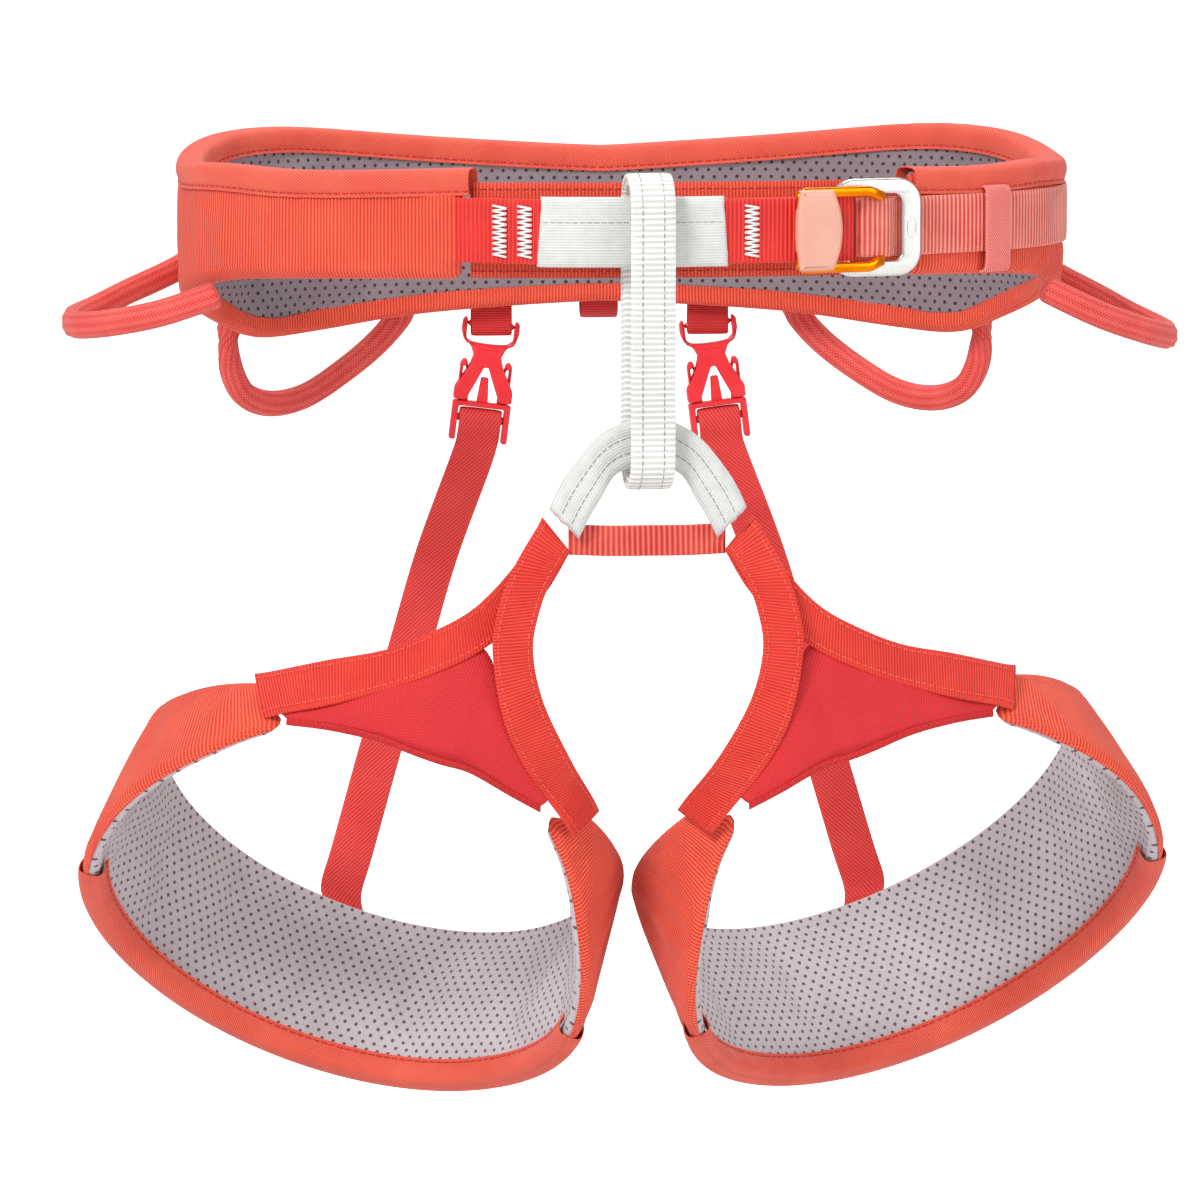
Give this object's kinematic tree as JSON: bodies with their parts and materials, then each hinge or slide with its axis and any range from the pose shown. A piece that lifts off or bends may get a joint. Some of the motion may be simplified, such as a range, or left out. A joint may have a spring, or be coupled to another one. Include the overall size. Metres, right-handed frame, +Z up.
{
  "type": "climbing harness",
  "caption": "Sit harness for rock climbing: padded waist belt and leg loops, two-frame waist buckle, white tie-in points and belay loop, gear loops, elastic rear risers.",
  "frame": {"origin": "centre of the waist ring, at the height of the belt's front centre line", "axes": "+X to the wearer's left, -Y to the front, +Z up along the body"},
  "size_m": [0.4092, 0.2204, 0.3555],
  "materials": {
    "pad_shell": "woven polyester with fine vertical ribs",
    "foam": "closed-cell foam",
    "liner": "light grey knit with rows of small holes",
    "binding": "twill tape",
    "webbing": "ribbed webbing",
    "white_webbing": "ribbed high-strength webbing",
    "white_thread": "dense zigzag stitching",
    "anodised": "orange anodised aluminium",
    "silver": "polished aluminium",
    "grip": "moulded plastic",
    "elastic": "elastic webbing with a twill face",
    "gear_braid": "braided sheath",
    "gear_core": "extruded tube",
    "thin_webbing": "flat webbing",
    "buckle_plastic": "moulded acetal",
    "mesh": "fine stretch mesh"
  },
  "bodies": {
    "harness": {"waist_shell": "pad_shell", "waist_foam": "foam", "waist_liner": "liner", "waist_binding": "binding", "front_flap": "pad_shell", "front_webbing": "webbing", "tie_in_sleeve": "white_webbing", "front_bartacks": "white_thread", "adjusting_strap": "webbing", "strap_keeper": "elastic", "sewn_anchors": "pad_shell"},
    "belay_loop": {"belay_outer_ply": "white_webbing", "belay_inner_ply": "white_webbing"},
    "leg_bridge": {"lower_tie_in_sleeve": "white_webbing", "bridge_webbing": "webbing", "crotch_strap": "webbing"},
    "buckle_fork": {"buckle_fork_frame": "anodised", "buckle_grip": "grip"},
    "buckle_frame": {"buckle_front_frame": "silver"},
    "haul_loop": {"haul_loop": "thin_webbing"},
    "right_leg": {"right_leg_shell": "pad_shell", "right_leg_foam": "foam", "right_leg_liner": "liner", "right_leg_binding": "binding", "right_outer_web": "webbing", "right_inner_web": "webbing", "right_gusset": "mesh", "right_gusset_edge": "mesh"},
    "right_hanger": {"right_hanger": "thin_webbing"},
    "right_riser": {"right_buckle_socket": "buckle_plastic", "right_riser": "elastic"},
    "right_clip": {"right_buckle_clip": "buckle_plastic"},
    "right_outer_arm": {"right_outer_squeeze_arm": "buckle_plastic"},
    "right_inner_arm": {"right_inner_squeeze_arm": "buckle_plastic"},
    "right_front_gear_loop": {"right_front_gear_sheath": "gear_braid", "right_front_gear_core": "gear_core"},
    "right_rear_gear_loop": {"right_rear_gear_sheath": "gear_braid", "right_rear_gear_core": "gear_core"},
    "left_leg": {"left_leg_shell": "pad_shell", "left_leg_foam": "foam", "left_leg_liner": "liner", "left_leg_binding": "binding", "left_outer_web": "webbing", "left_inner_web": "webbing", "left_gusset": "mesh", "left_gusset_edge": "mesh"},
    "left_hanger": {"left_hanger": "thin_webbing"},
    "left_riser": {"left_buckle_socket": "buckle_plastic", "left_riser": "elastic"},
    "left_clip": {"left_buckle_clip": "buckle_plastic"},
    "left_outer_arm": {"left_outer_squeeze_arm": "buckle_plastic"},
    "left_inner_arm": {"left_inner_squeeze_arm": "buckle_plastic"},
    "left_front_gear_loop": {"left_front_gear_sheath": "gear_braid", "left_front_gear_core": "gear_core"},
    "left_rear_gear_loop": {"left_rear_gear_sheath": "gear_braid", "left_rear_gear_core": "gear_core"}
  },
  "joints": [
    {"name": "belay_swing", "type": "hinge", "parent": "harness", "child": "belay_loop", "pos_m": [0, -0.104, 0], "axis": [-1, 0, 0], "range_deg": [-8, 18], "stiffness_Nm_per_rad": 0.3},
    {"name": "leg_loops_tilt", "type": "hinge", "parent": "belay_loop", "child": "leg_bridge", "pos_m": [0, -0.104, -0.076], "axis": [-1, 0, 0], "range_deg": [-19, 8.5]},
    {"name": "buckle_fork_lift", "type": "hinge", "parent": "harness", "child": "buckle_fork", "pos_m": [0.08263, -0.08898, -0.0005], "axis": [0, 0, 1], "range_deg": [0, 35]},
    {"name": "buckle_frame_tilt", "type": "hinge", "parent": "harness", "child": "buckle_frame", "pos_m": [0.0705, -0.092, -0.0005], "axis": [0, 0, -1], "range_deg": [0, 9]},
    {"name": "haul_loop_swing", "type": "hinge", "parent": "harness", "child": "haul_loop", "pos_m": [0, 0.0954, -0.026], "axis": [1, 0, 0], "range_deg": [0, 70]},
    {"name": "right_leg_spread", "type": "hinge", "parent": "leg_bridge", "child": "right_leg", "pos_m": [-0.035, -0.104, -0.101], "axis": [0, 1, 0], "range_deg": [0, 12]},
    {"name": "right_hanger_swing", "type": "hinge", "parent": "harness", "child": "right_hanger", "pos_m": [-0.041, 0.0925, -0.034], "axis": [0, 1, 0], "range_deg": [0, 8.9]},
    {"name": "right_riser_swing", "type": "hinge", "parent": "right_hanger", "child": "right_riser", "pos_m": [-0.041, 0.0936, -0.0505], "axis": [-1, 0, 0], "range_deg": [-2.6, 5.8]},
    {"name": "right_clip_release", "type": "slide", "parent": "right_riser", "child": "right_clip", "axis": [-0.1219, 0, -0.9925], "range_m": [0, 0.024], "deforming": ["right_riser"]},
    {"name": "right_outer_arm_squeeze", "type": "hinge", "parent": "right_clip", "child": "right_outer_arm", "pos_m": [-0.0519, 0.0936, -0.07858], "axis": [0, 1, 0], "range_deg": [0, 5], "stiffness_Nm_per_rad": 0.02},
    {"name": "right_inner_arm_squeeze", "type": "hinge", "parent": "right_clip", "child": "right_inner_arm", "pos_m": [-0.03721, 0.0936, -0.08038], "axis": [0, -1, 0], "range_deg": [0, 5], "stiffness_Nm_per_rad": 0.02},
    {"name": "right_front_gear_loop_flex", "type": "hinge", "parent": "harness", "child": "right_front_gear_loop", "pos_m": [-0.15125, 0.00075, -0.0225], "axis": [0.049, -0.9959, -0.0762], "range_deg": [-6, 12], "stiffness_Nm_per_rad": 0.03},
    {"name": "right_rear_gear_loop_flex", "type": "hinge", "parent": "harness", "child": "right_rear_gear_loop", "pos_m": [-0.1065, 0.079, -0.043], "axis": [-0.9044, -0.4194, -0.0786], "range_deg": [-4, 14], "stiffness_Nm_per_rad": 0.03},
    {"name": "left_leg_spread", "type": "hinge", "parent": "leg_bridge", "child": "left_leg", "pos_m": [0.035, -0.104, -0.101], "axis": [0, -1, 0], "range_deg": [0, 12]},
    {"name": "left_hanger_swing", "type": "hinge", "parent": "harness", "child": "left_hanger", "pos_m": [0.041, 0.0925, -0.034], "axis": [0, -1, 0], "range_deg": [0, 8.9]},
    {"name": "left_riser_swing", "type": "hinge", "parent": "left_hanger", "child": "left_riser", "pos_m": [0.041, 0.0936, -0.0505], "axis": [-1, 0, 0], "range_deg": [-2.6, 5.8]},
    {"name": "left_clip_release", "type": "slide", "parent": "left_riser", "child": "left_clip", "axis": [0.1219, 0, -0.9925], "range_m": [0, 0.024], "deforming": ["left_riser"]},
    {"name": "left_outer_arm_squeeze", "type": "hinge", "parent": "left_clip", "child": "left_outer_arm", "pos_m": [0.0519, 0.0936, -0.07858], "axis": [0, -1, 0], "range_deg": [0, 5], "stiffness_Nm_per_rad": 0.02},
    {"name": "left_inner_arm_squeeze", "type": "hinge", "parent": "left_clip", "child": "left_inner_arm", "pos_m": [0.03721, 0.0936, -0.08038], "axis": [0, 1, 0], "range_deg": [0, 5], "stiffness_Nm_per_rad": 0.02},
    {"name": "left_front_gear_loop_flex", "type": "hinge", "parent": "harness", "child": "left_front_gear_loop", "pos_m": [0.15125, 0.00075, -0.02281], "axis": [0.049, 0.9964, 0.0695], "range_deg": [-6, 12], "stiffness_Nm_per_rad": 0.03},
    {"name": "left_rear_gear_loop_flex", "type": "hinge", "parent": "harness", "child": "left_rear_gear_loop", "pos_m": [0.1065, 0.079, -0.043], "axis": [-0.9044, 0.4194, 0.0786], "range_deg": [-4, 14], "stiffness_Nm_per_rad": 0.03}
  ],
  "couplings": [
    {"joint": "leg_loops_tilt", "follows": "belay_swing", "ratio": -1.034},
    {"joint": "right_hanger_swing", "follows": "right_leg_spread", "ratio": 0.731},
    {"joint": "right_riser_swing", "follows": "belay_swing", "ratio": 0.313},
    {"joint": "right_inner_arm_squeeze", "follows": "right_outer_arm_squeeze", "ratio": 1},
    {"joint": "left_hanger_swing", "follows": "left_leg_spread", "ratio": 0.731},
    {"joint": "left_riser_swing", "follows": "belay_swing", "ratio": 0.313},
    {"joint": "left_inner_arm_squeeze", "follows": "left_outer_arm_squeeze", "ratio": 1}
  ]
}
